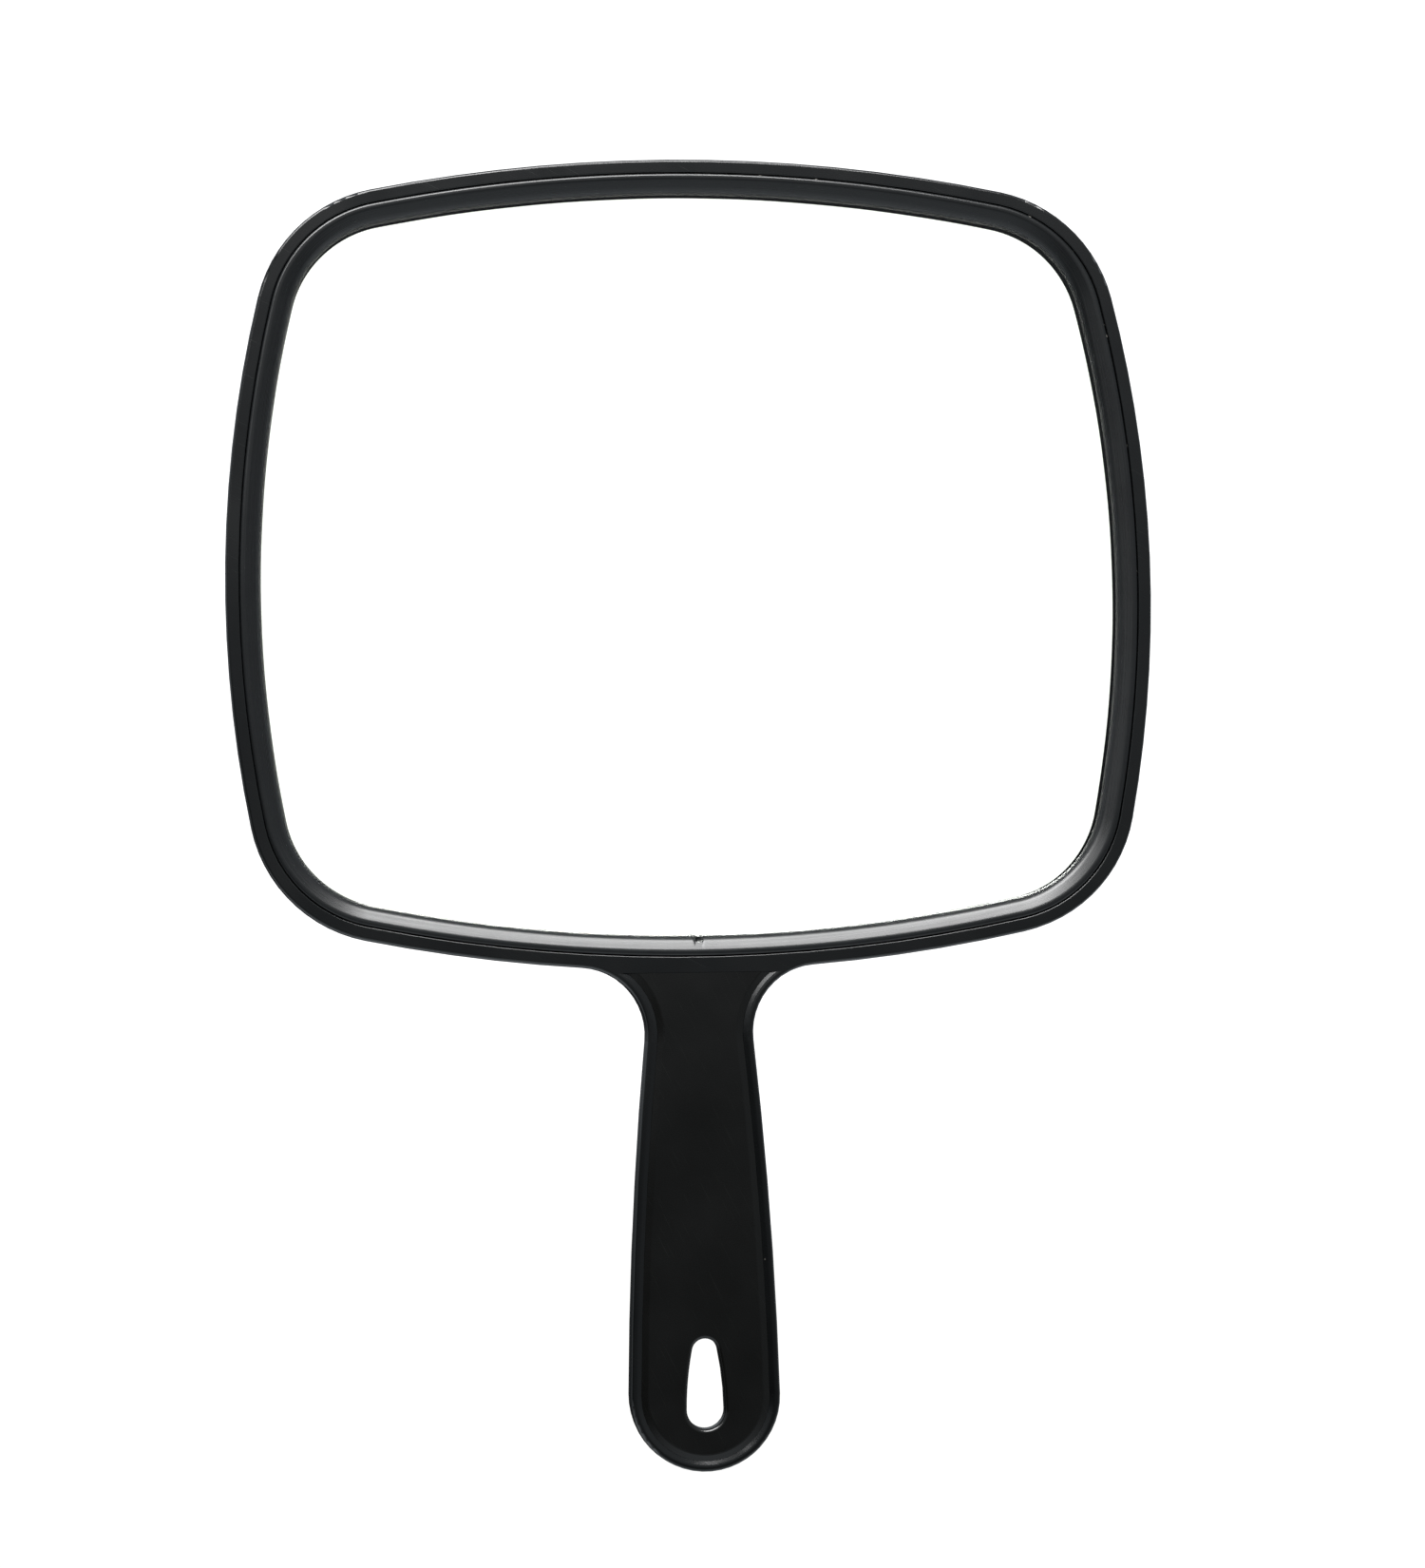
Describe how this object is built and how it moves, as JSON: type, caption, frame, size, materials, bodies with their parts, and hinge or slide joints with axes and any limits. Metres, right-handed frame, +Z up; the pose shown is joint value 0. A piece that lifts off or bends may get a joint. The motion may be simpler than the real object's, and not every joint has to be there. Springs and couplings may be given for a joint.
{
  "type": "hand mirror",
  "caption": "Barber's hand mirror in black moulded plastic: wide rounded-square head, bevelled ring round the glass, flat flared handle with a grooved front panel and an egg-shaped hanging slot",
  "frame": {"origin": "middle of the grip: on the centre line of the handle, 60 mm above its end, halfway through the thickness", "axes": "+Z up the handle to the head, +X to the viewer's right when looking into the glass, -Y is the way the glass faces"},
  "size_m": [0.222, 0.011, 0.3125],
  "materials": {
    "shell_plastic": "black ABS, satin, finely spark-textured",
    "ring_plastic": "black ABS, semi-gloss",
    "panel_plastic": "black ABS, satin",
    "clear_glass": "polished float glass",
    "silver": "bright reflecting film",
    "back_paint": "grey-blue protective paint, matt",
    "foam": "closed-cell foam sheet",
    "tape": "double-sided tissue tape"
  },
  "bodies": {
    "root": {"back_shell": "shell_plastic", "retaining_ring": "ring_plastic", "handle_panel": "panel_plastic", "mirror_glass": "clear_glass", "silver_layer": "silver", "backing_paint": "back_paint", "foam_pad": "foam", "tape_strips": "tape"}
  },
  "joints": []
}
